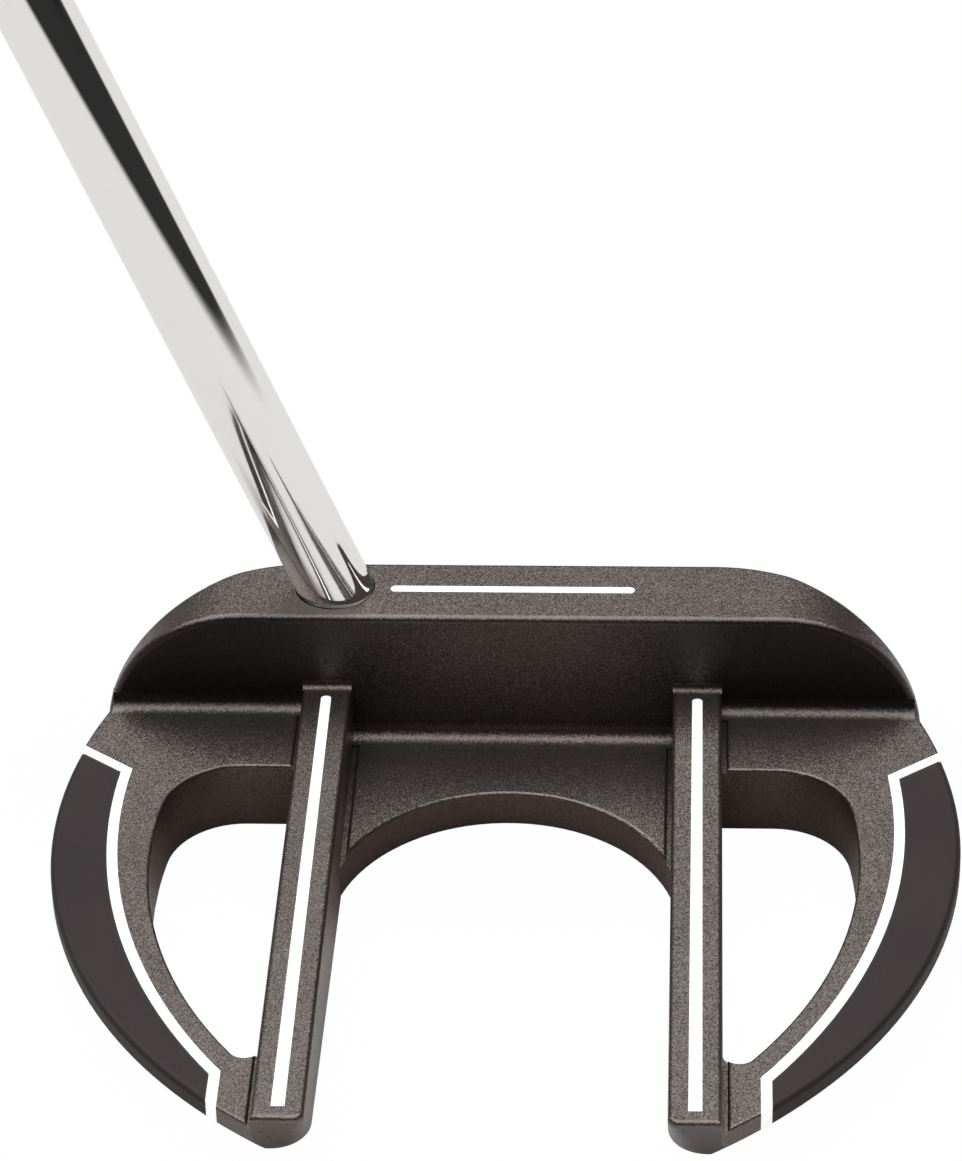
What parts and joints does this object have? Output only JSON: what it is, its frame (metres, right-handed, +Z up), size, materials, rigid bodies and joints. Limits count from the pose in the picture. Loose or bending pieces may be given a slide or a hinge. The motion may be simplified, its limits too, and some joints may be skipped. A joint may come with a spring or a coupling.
{
  "type": "mallet putter",
  "caption": "Right-handed mallet putter with a two-prong head, black wing weights, white sight lines, a stepped chrome shaft and a rubber grip with a thumb flat.",
  "frame": {"origin": "on the sole plane, in the head's middle plane, where the vertical plane of the shaft's axis crosses it, under the front bar", "axes": "+X to the toe, +Y to the target, square to the face's top edge, +Z up"},
  "size_m": [0.3986, 0.1047, 0.8089],
  "materials": {
    "head": "dark bronze-grey metallic powder coat, satin, with a fine sparkle",
    "weight": "black satin",
    "trim": "white, semi-gloss",
    "paint": "white enamel",
    "pin": "ground",
    "shaft": "polished chrome plate",
    "bond": "cured epoxy",
    "tape": "double-sided grip tape",
    "grip": "matt, moulded texture",
    "cap": "matt"
  },
  "bodies": {
    "root": {"head_body": "head", "heel_wing_weight": "weight", "toe_wing_weight": "weight", "heel_wing_trim": "trim", "toe_wing_trim": "trim", "front_sight_line": "paint", "heel_sight_line": "paint", "toe_sight_line": "paint", "weight_pins": "pin", "shaft": "shaft", "shaft_bond": "bond", "grip_tape": "tape", "grip": "grip", "grip_cap": "cap"}
  },
  "joints": []
}
